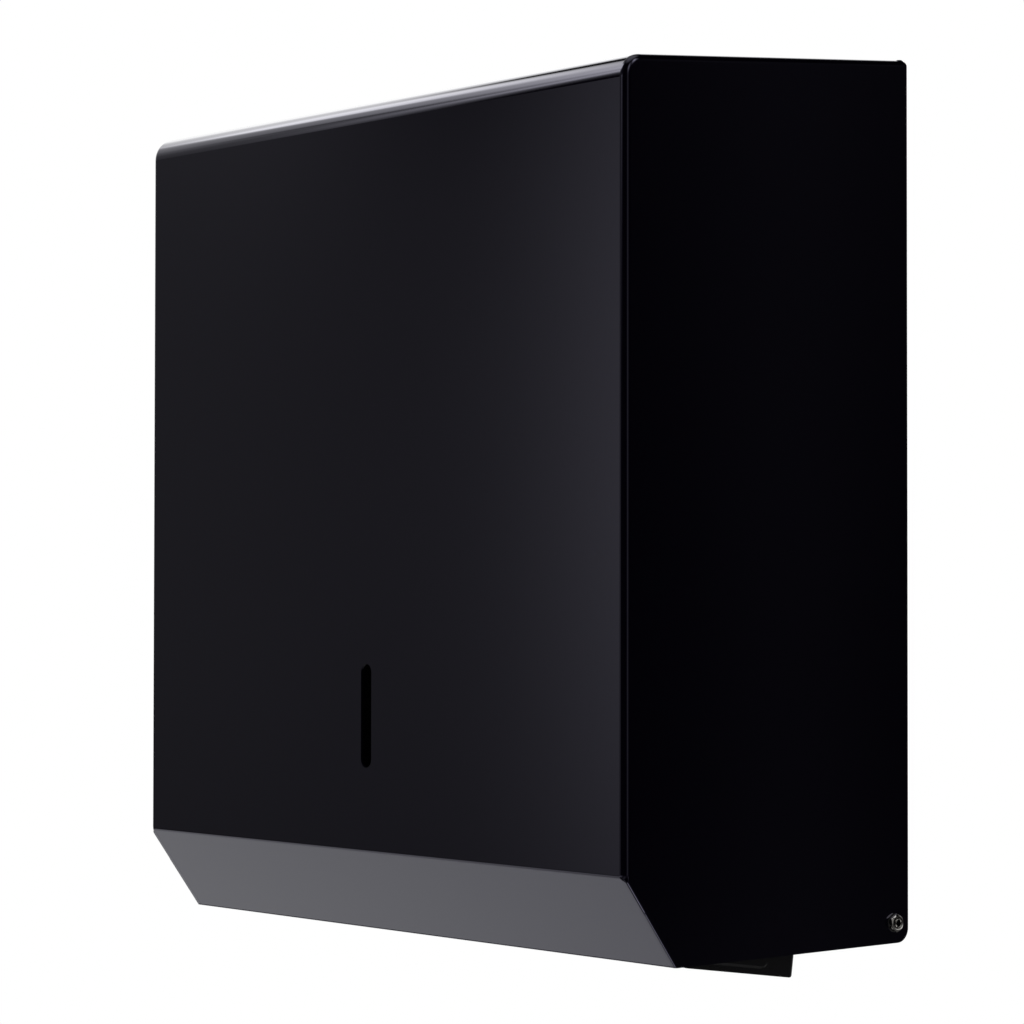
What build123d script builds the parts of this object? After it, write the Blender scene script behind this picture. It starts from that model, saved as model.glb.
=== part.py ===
from build123d import *
import os
from math import atan, cos, hypot, radians, sin, tan

# Wall cabinet for folded paper towels: a steel cover that swings down on two pivots at its lower
# rear corners and locks at the top, over a fixed base of back plate, cheeks and towel tray.
# Frame: +X to the right of someone facing it, +Y into the wall, +Z up. The wall is the plane y = 0
# and the origin is the centre of the back plate and of its four wall holes. All sizes are in
# millimetres.

# Cover
cover_width = 275.0
cover_depth = 129.5          # front panel to rear edge
cover_rear_height = 305.2    # foot to the rear end of the top
top_rise = 10.2              # of the top, from the end of its front bend to the rear
cover_side_rise = 1.4        # the side's lower edge rises this much towards the wall
cover_sheet = 1.0
cover_to_wall = 1.5
top_bend_radius = 8.2
side_bend_radius = 2.6
bevel_height = 30.2
bevel_depth = 22.0
bevel_bend_radius = 2.0
bevel_edge_radius = 0.5
bevel_edge_run = 14.0        # over which it comes out of the bends' radius
rear_foot_radius = 5.0
rear_top_radius = 2.0
top_return_depth = 10.0      # stiffening edge folded down at the rear of the top
sight_slot_width = 6.0
sight_slot_height = 36.4
sight_slot_above_foot = 77.7

# Pivots
pivot_from_rear = 6.7
pivot_above_foot = 8.3
shoulder_diameter = 5.0
bush_wall = 0.65
bush_flange_diameter = 10.0
bush_flange = 1.2            # keeps the cover's side off the cheek
pivot_head_diameter = 8.0
pivot_head_height = 2.2
pivot_socket_across = 3.0
pivot_socket_depth = 1.1
pivot_thread_diameter = 3.0
pivot_tip_socket_across = 2.0
pivot_tip_socket_depth = 1.2
pivot_tip_stand_out = 0.8    # thread that shows past the nut
pivot_nut_across = 5.5
pivot_nut_height = 1.2

# Back plate
base_sheet = 1.0
fold_radius = 1.0            # inside radius of every fold in the base
plate_above_foot = 3.0
plate_below_top = 17.2       # under the rear end of the cover's top
plate_side_gap = 0.7
plate_corner_radius = 4.0
wall_hole_diameter = 6.0
wall_hole_from_side = 33.5
wall_hole_from_end = 32.5
rib_spacing = 116.0
rib_width = 12.0
rib_length = 190.0
rib_corner = 3.5
rib_rise = 1.6
press_slope = 45.0           # degrees, walls of pressed ribs and beads

# Cheeks
cheek_above_foot = 2.4
cheek_below_plate = 3.0
cheek_top_depth = 29.0
cheek_front_height = 163.0
cheek_to_bevel = 3.5         # room behind the foot of the cover's bevel
cheek_corner_radius = 12.0
cheek_foot_radius = 3.0
cheek_rear_fold = 13.0
cheek_front_fold = 12.0
cheek_step_slope = 45.0      # degrees, its lower edge behind the tray's fold line
cheek_over_flange = 9.8      # lower edge above that of the tray's side flange

# Towel tray: two floors that fall towards a fold line under the middle of the stack
fold_line_from_front = 52.6
fold_line_radius = 6.0
tray_below_foot = 7.55       # lowest edge of the side flanges, at the fold line
tray_tilt = 7.9              # degrees
tray_flange_height = 17.0
flange_return = 7.0
flange_corner_radius = 3.0
flange_low_radius = 2.5
floor_bite = 0.75            # how far the flange reaches into the floor's sheet
tray_lip_height = 20.0
tray_lip_radius = 5.0
tray_rear_fold = 14.0
rear_fold_gap = 4.2          # between the tray's and the cheeks' rear folds
tray_ear_height = 14.0
ear_behind_fold = 6.0
ear_before_wall = 12.0
ear_corner_radius = 4.0
exit_length = 200.0
exit_width = 42.0
exit_collar_depth = 5.0
bead_width = 7.5
bead_rise = 0.9
bead_above_edge = 5.8
bead_behind_front = 9.0      # from the cheek's front to the middle of the bead's front end
bead_before_fold = 15.2      # from the middle of its rear end to the fold line

# Rivets between tray and cheeks, in front; behind, the ears are spot-welded
rivet_diameter = 3.2
rivet_head_diameter = 6.0
rivet_head_height = 0.8
rivet_before_fold = 26.0

# Lock
lock_from_rear = 38.5
lock_rosette_diameter = 22.0
lock_rosette_height = 2.2
lock_rosette_chamfer = 0.9
lock_barrel_diameter = 16.0
lock_barrel_flats = 14.0
lock_nut_across = 22.0
lock_nut_height = 3.0
lock_washer_across = 22.0
lock_washer_corner = 3.0
lock_washer_thickness = 0.8
plug_diameter = 11.0
plug_post_across = 7.0
keyway_width = 2.0
keyway_length = 7.5
keyway_depth = 9.0
cam_thickness = 2.0
cam_hub_diameter = 16.0
cam_width = 11.0
cam_reach = 24.0
cam_tip_radius = 2.7
cam_gap = 0.3                # between barrel and cam
cam_below_plate = 3.3        # under the top edge of the back plate, at the lock's axis
cam_to_fold = 3.0            # between the open cam and the back plate's top fold
cam_screw_diameter = 4.0
cam_screw_head_diameter = 9.6
cam_screw_head_height = 2.4
cam_screw_grip = 6.0
cam_recess_across = 3.7
cam_recess_slot = 0.9
cam_recess_depth = 1.2

# Strike that the cam turns behind
strike_sheet = 1.5
strike_flange = 20.5
strike_to_cam = 0.8          # between the locked cam and the strike's lip
strike_past_cam = 3.5        # between the cam's tip and the strike's arm
strike_past_hub = 4.0        # between the cam's hub and the end of the lip
strike_below_cam = 7.7
strike_under_fold = 1.0
strike_corner_radius = 2.0

# Clearances
running_clearance = 0.05     # radial, shaft in a turning hole
face_clearance = 0.1         # between faces that turn past each other
hole_clearance = 0.05        # radial, fastener in its hole
overrun = 10.0               # how far rough forms run past the edges that are then cut
far = 400.0                  # longer than any piece, for cutting tools

# Levels and planes that several pieces share
plate_height = cover_rear_height - plate_below_top - plate_above_foot
plate_top = plate_height / 2
foot = -plate_height / 2 - plate_above_foot
cover_rear = -cover_to_wall
cover_front = cover_rear - cover_depth
half_width = cover_width / 2
cover_inner = half_width - cover_sheet
top_slope = top_rise / (cover_depth - top_bend_radius)
top_tilt = atan(top_slope)
pivot_y = cover_rear - pivot_from_rear
pivot_z = foot + pivot_above_foot
cheek_outer = cover_inner - bush_flange - face_clearance
cheek_inner = cheek_outer - base_sheet
cheek_front = cover_front + bevel_depth + cheek_to_bevel
cheek_rear = -base_sheet
cheek_low = foot + cheek_above_foot
cheek_top = plate_top - cheek_below_plate
shoulder_end = half_width + face_clearance
fold_line = cheek_front + fold_line_from_front
tray_slope = tan(radians(tray_tilt))
tray_front = cheek_front + base_sheet
tray_rear = cheek_rear
tray_side_front = tray_front + fold_radius
tray_side_rear = tray_rear - base_sheet - fold_radius
tray_edge_low = foot - tray_below_foot
tray_floor_low = tray_edge_low + tray_flange_height - base_sheet
lock_y = cover_rear - lock_from_rear


def top_level(y):
    """Height of the cover's outer top surface at depth y."""
    return foot + cover_rear_height - top_slope * (cover_rear - y)


# Along the lock's axis, which is as long as the cam needs to hang level with its strike
cam_top = (plate_top - cam_below_plate - top_level(lock_y)) / cos(top_tilt)
cam_underside = cam_top - cam_thickness
lock_barrel_length = -cam_top - cam_gap


def flange_edge(y):
    """Lower edge of the tray's side flange at depth y, in front of the fold line."""
    return tray_edge_low + (fold_line - y) * tray_slope


def floor_underside(y):
    """Underside of the tray's floor at depth y."""
    return tray_floor_low + abs(y - fold_line) * tray_slope


def inset(corners, distances):
    """Corners of a convex anticlockwise outline with edge i moved inwards by distance i."""
    lines = []
    for i, (x0, y0) in enumerate(corners):
        x1, y1 = corners[(i + 1) % len(corners)]
        length = hypot(x1 - x0, y1 - y0)
        nx, ny = (y0 - y1) / length, (x1 - x0) / length
        lines.append((nx, ny, nx * x0 + ny * y0 + distances[i]))
    moved = []
    for i, (a1, b1, c1) in enumerate(lines):
        a0, b0, c0 = lines[i - 1]
        cross = a0 * b1 - a1 * b0
        moved.append(((c0 * b1 - c1 * b0) / cross, (a0 * c1 - a1 * c0) / cross))
    return moved


def outline(corners, rounded=()):
    """Face with the given corners; rounded lists (corner number, radius)."""
    face = Polygon(*corners, align=None)
    for number, radius in rounded:
        y, z = corners[number]
        corner = face.vertices().sort_by_distance(Vector(y, z, 0))[0]
        face = fillet(corner, radius)
    return face


def across(face, x_from, x_to):
    """Solid with the given side-view outline (y, z) between two planes of x."""
    return extrude(Plane.YZ.offset(x_from) * face, amount=x_to - x_from)


def bent_sheet(corners, radii, thickness):
    """Section of a folded sheet lying on the left of the line through the corners."""
    line = FilletPolyline(*corners, radius=radii)
    return make_face(offset(line, amount=thickness, side=Side.LEFT).edges())


def rod(radius, start, end, y=0.0, z=0.0):
    """Round bar along X."""
    return Plane.YZ.offset(start) * Pos(y, z, 0) * extrude(Circle(radius), amount=end - start)


def hexagon(across_flats):
    """Hexagon with the given distance across its flats."""
    return RegularPolygon(across_flats / 2, 6, major_radius=False, rotation=30)


def end_rim(solid, plane):
    """Edges of the solid's flat face at the plane's origin."""
    return solid.faces().sort_by_distance(plane.origin)[0].edges()


def mirrored(shape):
    """The same piece for the left side."""
    return mirror(shape, about=Plane.YZ)


# ---------------------------------------------------------------- cover

cover_corners = [
    (cover_rear, foot + cover_side_rise),
    (cover_rear, top_level(cover_rear)),
    (cover_front, top_level(cover_front)),
    (cover_front, foot + bevel_height),
    (cover_front + bevel_depth, foot),
]


def rounded_block(wall, past):
    """Cover's form inside its walls, run out past the open rear and foot."""
    corners = inset(cover_corners, (-past, wall, wall, wall, -past))
    bends = [(2, top_bend_radius - wall), (3, bevel_bend_radius - wall)]
    block = across(outline(corners, bends), wall - half_width, half_width - wall)
    front_edges = block.edges().filter_by(Axis.Z).sort_by(Axis.Y)[:2]
    return fillet(front_edges, side_bend_radius - wall)


def bevel_corners():
    """The bevel's ends, welded to the sides and ground to a smaller radius than the bends."""
    outwards = Vector(0, -bevel_height, -bevel_depth).normalized()
    at = Plane(origin=(0, *cover_corners[3]), x_dir=(1, 0, 0), z_dir=outwards)
    high = -bevel_bend_radius / 2
    full = high - bevel_edge_run
    low = -hypot(bevel_depth, bevel_height) - overrun
    narrow = half_width - side_bend_radius
    right = [(half_width, low), (half_width, full), (narrow, high)]
    left = [(-x, y) for x, y in reversed(right)]
    strip = extrude(at * Polygon(*right, *left, align=None), amount=-2 * side_bend_radius)
    front = strip.faces().sort_by_distance(at.from_local_coords((0, full, 0)))[0]
    return fillet(front.edges().filter_by(Axis.X, reverse=True), bevel_edge_radius)


def cover_return():
    """Edge folded down at the rear of the top, between the sides."""
    under = cover_sheet * hypot(1.0, top_slope)
    leg = 3 * cover_sheet
    low = top_level(cover_rear) - top_return_depth
    inner = cover_rear - cover_sheet
    corners = [
        (cover_rear, low),
        (cover_rear, top_level(cover_rear)),
        (cover_rear - leg, top_level(cover_rear - leg)),
        (cover_rear - leg, top_level(cover_rear - leg) - under),
        (inner, top_level(inner) - under),
        (inner, low),
    ]
    return across(outline(corners, [(4, rear_top_radius - cover_sheet)]), -cover_inner, cover_inner)


def lock_plane(depth=0.0):
    """Plane on the cover's top at the lock, or that far above it."""
    upwards = Vector(0, -sin(top_tilt), cos(top_tilt))
    centre = Vector(0, lock_y, top_level(lock_y)) + upwards * depth
    return Plane(origin=centre, x_dir=(1, 0, 0), z_dir=upwards)


def lock_section(clearance=0.0):
    """Round lock barrel with two flats that keep it from turning."""
    flats = Rectangle(lock_barrel_diameter * 2, lock_barrel_flats + 2 * clearance)
    return Circle(lock_barrel_diameter / 2 + clearance) & flats


def cover_shell():
    """Front, sides, top and bevel in one steel skin, open to the wall and at the foot."""
    shell = rounded_block(0.0, overrun) + bevel_corners()
    shell -= rounded_block(cover_sheet, 2 * overrun)
    shell += cover_return()
    rear_and_foot = inset(cover_corners, (0, 0, -overrun, -overrun, 0))
    trim = outline(rear_and_foot, [(0, rear_foot_radius), (1, rear_top_radius)])
    shell = shell & across(trim, -half_width, half_width)
    slot = SlotOverall(sight_slot_height, sight_slot_width, rotation=90)
    slot_plane = Plane.XZ.offset(-cover_front - 2 * cover_sheet)
    slot_level = foot + sight_slot_above_foot
    shell -= extrude(slot_plane * Pos(0, slot_level, 0) * slot, amount=4 * cover_sheet)
    bush_hole = shoulder_diameter / 2 + running_clearance + bush_wall
    shell -= rod(bush_hole, -far, far, pivot_y, pivot_z)
    lock_hole = lock_plane(lock_rosette_height) * lock_section(hole_clearance)
    return shell - extrude(lock_hole, amount=-3 * lock_rosette_height)


def pivot_bush():
    """Nylon bush in the cover's right side, its flange on the inside."""
    bore = shoulder_diameter / 2 + running_clearance
    sleeve = rod(bore + bush_wall, cover_inner - bush_flange, half_width, pivot_y, pivot_z)
    sleeve += rod(bush_flange_diameter / 2, cover_inner - bush_flange, cover_inner, pivot_y, pivot_z)
    return sleeve - rod(bore, 0, far, pivot_y, pivot_z)


# ---------------------------------------------------------------- lock

def lock_housing():
    """Rosette and barrel of the cam lock, bored for its plug."""
    rosette = extrude(lock_plane() * Circle(lock_rosette_diameter / 2), amount=lock_rosette_height)
    rosette = chamfer(end_rim(rosette, lock_plane(lock_rosette_height)), lock_rosette_chamfer)
    barrel = extrude(lock_plane() * lock_section(), amount=-lock_barrel_length)
    housing = rosette + barrel
    bore = Circle(plug_diameter / 2 + running_clearance)
    return housing - extrude(lock_plane(lock_rosette_height) * bore, amount=-far)


def lock_washer():
    """Square washer under the lock nut; the flats of its hole keep the lock from turning."""
    square = Rectangle(lock_washer_across, lock_washer_across)
    square = chamfer(square.vertices(), lock_washer_corner)
    plate = square - lock_section(hole_clearance)
    return extrude(lock_plane(-cover_sheet) * plate, amount=-lock_washer_thickness)


def lock_nut():
    """Thin hexagon nut that clamps the lock in the cover's top."""
    ring = hexagon(lock_nut_across) - Circle(lock_barrel_diameter / 2 + hole_clearance)
    return extrude(lock_plane(-cover_sheet - lock_washer_thickness) * ring, amount=-lock_nut_height)


def lock_plug():
    """Turning core of the lock, with its keyway and a square post for the cam."""
    top = lock_rosette_height
    core = extrude(lock_plane(top) * Circle(plug_diameter / 2), amount=cam_top - top)
    post = Rectangle(plug_post_across, plug_post_across)
    plug = core + extrude(lock_plane(cam_top) * post, amount=-cam_thickness)
    keyway = SlotOverall(keyway_length, keyway_width)
    plug -= extrude(lock_plane(top) * keyway, amount=-keyway_depth)
    tapping = Circle(cam_screw_diameter / 2 + hole_clearance)
    return plug - extrude(lock_plane(cam_underside) * tapping, amount=cam_screw_grip)


def lock_cam():
    """Flat cam on the plug's post; it points at the wall when the lock is open."""
    tongue = Pos(0, cam_reach / 2) * Rectangle(cam_width, cam_reach)
    corners = tongue.vertices().group_by(Axis.Y)[-1]
    blade = Circle(cam_hub_diameter / 2) + fillet(corners, cam_tip_radius)
    square = plug_post_across + 2 * hole_clearance
    blade -= Rectangle(square, square)
    return extrude(lock_plane(cam_top) * blade, amount=-cam_thickness)


def cam_screw():
    """Flat-headed screw up into the plug, its head over the cam's square hole."""
    end = cam_underside - cam_screw_head_height
    disc = Circle(cam_screw_head_diameter / 2)
    head = extrude(lock_plane(cam_underside) * disc, amount=-cam_screw_head_height)
    shank = Circle(cam_screw_diameter / 2)
    screw = head + extrude(lock_plane(cam_underside) * shank, amount=cam_screw_grip - hole_clearance)
    cross = Rectangle(cam_recess_across, cam_recess_slot) + Rectangle(cam_recess_slot, cam_recess_across)
    return screw - extrude(lock_plane(end) * cross, amount=cam_recess_depth)


# ---------------------------------------------------------------- base

def pressed_bead(plane, plan, rise):
    """Bead of the given plan pressed out of a sheet: (bump to add, groove to cut)."""
    bump = extrude(plane * plan, amount=rise, taper=press_slope)
    inside = offset(plan, amount=-base_sheet * tan(radians(press_slope / 2)))
    return bump, extrude(plane.offset(-base_sheet) * inside, amount=rise, taper=press_slope)


def back_plate():
    """Wall plate with a stiffening fold along its top, two pressed ribs and four wall holes."""
    fold_depth = -lock_y - cam_reach - cam_to_fold
    corners = [(0, -plate_height / 2), (0, plate_top), (-fold_depth, plate_top)]
    half = cheek_inner - plate_side_gap
    plate = across(bent_sheet(corners, fold_radius + base_sheet, base_sheet), -half, half)
    plate = fillet(plate.edges().filter_by(Axis.Z).sort_by(Axis.Y)[:2], plate_corner_radius)
    rib = Rectangle(rib_length, rib_width)
    rib = chamfer(rib.vertices(), rib_corner)
    hole_x = half - wall_hole_from_side
    hole_z = plate_top - wall_hole_from_end
    for side in (-1, 1):
        face = Plane((side * rib_spacing / 2, -base_sheet, 0), (0, 0, 1), (0, -1, 0))
        bump, groove = pressed_bead(face, rib, rib_rise)
        plate = plate + bump - groove
        for level in (-hole_z, hole_z):
            hole = Plane.XZ * Pos(side * hole_x, level) * Circle(wall_hole_diameter / 2)
            plate -= extrude(hole, amount=overrun, both=True)
    return plate


def rivet_spot():
    """(y, z) of the rivet that holds the tray's side flange to the cheek."""
    y = fold_line - rivet_before_fold
    return y, (flange_edge(y) + cheek_over_flange + floor_underside(y)) / 2


def rivet_hole():
    """Tool for the right rivet's hole."""
    return rod(rivet_diameter / 2 + hole_clearance, cheek_inner - overrun, half_width, *rivet_spot())


def cheek():
    """Right side plate, folded in along the wall and at the front, where it holds the towels."""
    corners = [
        (cheek_outer - cheek_front_fold, cheek_front),
        (cheek_outer, cheek_front),
        (cheek_outer, cheek_rear),
        (cheek_outer - cheek_rear_fold, cheek_rear),
    ]
    section = bent_sheet(corners, fold_radius + base_sheet, base_sheet)
    plate = extrude(Plane.XY * section, amount=far, both=True)
    fold_low = flange_edge(fold_line) + cheek_over_flange
    step = (cheek_low - fold_low) / tan(radians(cheek_step_slope))
    side_view = [
        (0.0, cheek_low),
        (0.0, cheek_top),
        (-cheek_top_depth, cheek_top),
        (cheek_front, cheek_low + cheek_front_height),
        (cheek_front, flange_edge(cheek_front) + cheek_over_flange),
        (fold_line, fold_low),
        (fold_line + step, cheek_low),
    ]
    rounded = [(2, cheek_corner_radius), (3, cheek_corner_radius), (4, cheek_foot_radius)]
    plate = plate & across(outline(side_view, rounded), 0, half_width)
    plate -= rod(shoulder_diameter / 2 + hole_clearance, 0, far, pivot_y, pivot_z)
    return plate - rivet_hole()


def exit_outline(growth=0.0):
    """Plan of the exit slot, grown outwards by the given distance."""
    return Pos(0, fold_line) * SlotOverall(exit_length + 2 * growth, exit_width + 2 * growth)


def tray_floor():
    """Front lip, two falling floors and rear fold in one bent strip, cut for the towels' exit."""
    front_floor = floor_underside(tray_front)
    rear_floor = floor_underside(tray_rear)
    corners = [
        (tray_front, front_floor + tray_lip_height),
        (tray_front, front_floor),
        (fold_line, tray_floor_low),
        (tray_rear, rear_floor),
        (tray_rear, rear_floor + tray_rear_fold),
    ]
    bend = fold_radius + base_sheet
    section = bent_sheet(corners, [bend, fold_line_radius, bend], base_sheet)
    lip_half = cheek_inner - fold_radius
    rear_half = cheek_outer - cheek_rear_fold - rear_fold_gap
    strips = (
        (tray_front - overrun, tray_side_front, lip_half),
        (tray_side_front, tray_side_rear, cheek_inner),
        (tray_side_rear, 0, rear_half),
    )
    tray = Part()
    for front, rear, half in strips:
        span = Plane.XY * Pos(0, (front + rear) / 2) * Rectangle(2 * half, rear - front)
        tray += across(section, -half_width, half_width) & extrude(span, amount=far, both=True)
    tips = tray.edges().filter_by(Axis.Y).group_by(Axis.Y)[0].sort_by(Axis.Z)[-2:]
    tray = fillet(tips, tray_lip_radius)
    return tray - extrude(exit_outline(), amount=far, both=True)


def exit_collar():
    """Wall turned down round the exit slot, following the fall of both floors."""
    ring = extrude(exit_outline(base_sheet) - exit_outline(), amount=far, both=True)
    front = fold_line - exit_width
    rear = fold_line + exit_width
    above = [(y, floor_underside(y)) for y in (rear, fold_line, front)]
    below = [(y, floor_underside(y) - exit_collar_depth) for y in (front, fold_line, rear)]
    return ring & across(outline(below + above), -exit_length, exit_length)


def side_flange():
    """Right flange under the front floor, beaded, with a short return at the fold line."""
    tilt = radians(tray_tilt)
    rise = Vector(sin(tilt), cos(tilt))
    low = Vector(fold_line, tray_edge_low)
    high = low + rise * (tray_flange_height - base_sheet + floor_bite) * cos(tilt)
    corners = [
        (low.X, low.Y),
        (high.X, high.Y),
        (tray_side_front, floor_underside(tray_side_front) + floor_bite),
        (tray_side_front, flange_edge(tray_side_front)),
    ]
    side_view = outline(corners, [(0, flange_low_radius), (3, flange_corner_radius)])
    at = Plane(origin=(cheek_inner, low.X, low.Y), x_dir=(1, 0, 0), z_dir=(0, rise.X, rise.Y))
    fold = [(0, -cover_depth), (0, 0), (-flange_return, 0)]
    section = bent_sheet(fold, fold_radius + base_sheet, base_sheet)
    flange = extrude(at * section, amount=far, both=True) & across(side_view, 0, half_width)
    front = cheek_front + bead_behind_front
    rear = fold_line - bead_before_fold
    length = (rear - front) / cos(tilt) + bead_width
    bead_y = (front + rear) / 2
    centre = (cheek_inner, bead_y, flange_edge(bead_y) + bead_above_edge)
    plane = Plane(origin=centre, x_dir=(0, -rise.Y, rise.X), z_dir=(1, 0, 0))
    bump, groove = pressed_bead(plane, SlotOverall(length, bead_width), bead_rise)
    return flange + bump - groove


def side_ear():
    """Right ear folded up from the rear floor, spot-welded to the cheek."""
    front = fold_line + ear_behind_fold
    rear = -ear_before_wall
    corners = [
        (front, floor_underside(front)),
        (rear, floor_underside(rear)),
        (rear, floor_underside(rear) + tray_ear_height),
        (front, floor_underside(front) + tray_ear_height),
    ]
    side_view = outline(corners, [(2, ear_corner_radius), (3, ear_corner_radius)])
    return across(side_view, cheek_inner - base_sheet, cheek_inner)


def towel_tray():
    """Tray that the towels stand on and leave through, with its side flanges and ears."""
    tray = tray_floor() + exit_collar()
    for piece in (side_flange(), side_ear()):
        tray = tray + piece + mirrored(piece)
    return tray - rivet_hole() - mirrored(rivet_hole())


def tray_rivet():
    """The right side's rivet, head outwards."""
    head = rod(rivet_head_diameter / 2, cheek_outer, cheek_outer + rivet_head_height, *rivet_spot())
    return head + rod(rivet_diameter / 2, cheek_inner - base_sheet, cheek_outer, *rivet_spot())


def pivot_screw():
    """Right shoulder screw: head inside the cheek, shoulder through the cover, thread outside."""
    head_end = cheek_inner - pivot_head_height
    tip = shoulder_end + pivot_nut_height + pivot_tip_stand_out
    at_head = Plane(origin=(head_end, pivot_y, pivot_z), z_dir=(1, 0, 0))
    at_tip = Plane(origin=(tip, pivot_y, pivot_z), z_dir=(1, 0, 0))
    head = rod(pivot_head_diameter / 2, head_end, cheek_inner, pivot_y, pivot_z)
    thread = rod(pivot_thread_diameter / 2, shoulder_end, tip, pivot_y, pivot_z)
    screw = head + thread + rod(shoulder_diameter / 2, cheek_inner, shoulder_end, pivot_y, pivot_z)
    screw -= extrude(at_head * hexagon(pivot_socket_across), amount=pivot_socket_depth)
    return screw - extrude(at_tip * hexagon(pivot_tip_socket_across), amount=-pivot_tip_socket_depth)


def pivot_nut():
    """Thin hexagon nut on the pivot screw, a point upwards."""
    at = Plane(origin=(shoulder_end, pivot_y, pivot_z), x_dir=(0, 1, 0), z_dir=(1, 0, 0))
    nut = extrude(at * hexagon(pivot_nut_across), amount=pivot_nut_height)
    return nut - rod(pivot_thread_diameter / 2 + hole_clearance, 0, far, pivot_y, pivot_z)


def strike_bracket():
    """Z-shaped strike on the back plate; its front lip stands before the locked cam."""
    lip_face = lock_y - cam_width / 2 - strike_to_cam
    arm = cam_reach + strike_past_cam
    corners = [
        (arm + strike_flange, -base_sheet),
        (arm, -base_sheet),
        (arm, lip_face),
        (cam_hub_diameter / 2 + strike_past_hub, lip_face),
    ]
    section = bent_sheet(corners, [fold_radius + strike_sheet, fold_radius], strike_sheet)
    top = plate_top - base_sheet - strike_under_fold
    low = lock_plane(cam_underside).origin.Z - strike_below_cam
    bracket = extrude(Plane.XY.offset(low) * section, amount=top - low)
    ends = bracket.edges().filter_by(Axis.Y).filter_by(lambda edge: edge.length < 2 * strike_sheet)
    return fillet(ends, strike_corner_radius)


pieces = {
    "cover_shell": cover_shell(),
    "lock_housing": lock_housing(),
    "lock_washer": lock_washer(),
    "lock_nut": lock_nut(),
    "lock_plug": lock_plug(),
    "lock_cam": lock_cam(),
    "cam_screw": cam_screw(),
    "back_plate": back_plate(),
    "towel_tray": towel_tray(),
    "strike_bracket": strike_bracket(),
}
sided = {
    "cheek": cheek(),
    "tray_rivet": tray_rivet(),
    "pivot_screw": pivot_screw(),
    "pivot_nut": pivot_nut(),
    "pivot_bush": pivot_bush(),
}
for name, shape in sided.items():
    pieces["right_" + name] = shape
    pieces["left_" + name] = mirrored(shape)

os.makedirs("parts", exist_ok=True)
for name, shape in pieces.items():
    export_step(shape, f"parts/{name}.step")
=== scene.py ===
from math import cos, pi, radians, sin

import bmesh
import bpy
import numpy as np
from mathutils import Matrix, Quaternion, Vector


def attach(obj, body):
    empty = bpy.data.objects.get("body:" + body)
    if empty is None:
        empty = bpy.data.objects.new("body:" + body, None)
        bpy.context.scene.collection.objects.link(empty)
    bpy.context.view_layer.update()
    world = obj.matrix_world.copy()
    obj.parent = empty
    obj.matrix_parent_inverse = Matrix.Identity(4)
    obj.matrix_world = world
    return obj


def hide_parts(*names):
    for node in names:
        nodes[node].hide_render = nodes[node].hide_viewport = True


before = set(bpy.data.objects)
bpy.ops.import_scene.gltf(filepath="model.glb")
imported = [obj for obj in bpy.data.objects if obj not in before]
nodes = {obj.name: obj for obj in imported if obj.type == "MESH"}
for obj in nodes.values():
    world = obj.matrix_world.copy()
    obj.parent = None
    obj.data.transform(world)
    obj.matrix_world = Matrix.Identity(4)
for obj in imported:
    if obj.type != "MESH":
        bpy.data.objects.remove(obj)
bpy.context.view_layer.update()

print("frame loaded:", len(nodes), "parts")


# sRGB hex to linear: each channel / 255, then the sRGB curve undone
def linear(hexColour):
    channels = np.array([int(hexColour[i:i + 2], 16) for i in (0, 2, 4)]) / 255.0
    curve = np.where(channels <= 0.04045, channels / 12.92, ((channels + 0.055) / 1.055) ** 2.4)
    return (*curve.tolist(), 1.0)


# noise scale for a feature of that many millimetres
def perMm(size):
    return 1000.0 / size


# adds a node; an input is a plain value, or (node, output name) for a link
def addNode(tree, kind, inputs=None, **settings):
    node = tree.nodes.new(kind)
    for name, value in settings.items():
        setattr(node, name, value)
    for name, value in (inputs or {}).items():
        if isinstance(value, tuple) and isinstance(value[0], bpy.types.Node):
            tree.links.new(value[0].outputs[value[1]], node.inputs[name])
        else:
            node.inputs[name].default_value = value
    return node


def newMaterial(name):
    material = bpy.data.materials.new(name)
    material.use_nodes = True
    material.node_tree.nodes.clear()
    return material, material.node_tree


def finishMaterial(tree, shader):
    addNode(tree, "ShaderNodeOutputMaterial", {"Surface": (shader, shader.outputs[0].name)})


# gives nodes of the frame their finish
def dress(material, *names):
    for name in names:
        slots = nodes[name].data.materials
        slots.clear()
        slots.append(material)


# mesh from points and quads, placed by its points alone
def meshObject(name, points, quads, material, crease=None):
    mesh = bpy.data.meshes.new(name)
    mesh.from_pydata(points.reshape(-1, 3).tolist(), [], quads.tolist())
    mesh.materials.append(material)
    mesh.polygons.foreach_set("use_smooth", np.full(len(mesh.polygons), crease is not None))
    if crease is not None:
        mesh.set_sharp_from_angle(angle=radians(crease))
    piece = bpy.data.objects.new(name, mesh)
    bpy.context.scene.collection.objects.link(piece)
    return piece


# quads between the rows and columns of a grid of points; a closed grid joins its last column to
# its first
def gridQuads(rows, columns, closed=False):
    last = columns if closed else columns - 1
    row, column = np.meshgrid(np.arange(rows - 1), np.arange(last), indexing="ij")
    here = row * columns + column
    beside = row * columns + (column + 1) % columns
    return np.stack([here, beside, beside + columns, here + columns], axis=-1).reshape(-1, 4)


# smooth step: 3 t^2 - 2 t^3 with t the place between two ends, held to 0...1
def ease(start, end, value):
    t = np.clip((value - start) / (end - start), 0.0, 1.0)
    return t * t * (3.0 - 2.0 * t)


cameraSettings = {
    "place": (0.9277, -0.8260, -0.0226),
    "azimuth": 50.631,     # degrees, from looking along +Y towards -X
    "pitch": 1.308,        # degrees, upwards
    "roll": 0.067,         # degrees
    "lens": 115.795, "sensor": 36.0,       # mm
    "clip": (0.01, 60.0),  # m
}


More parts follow.
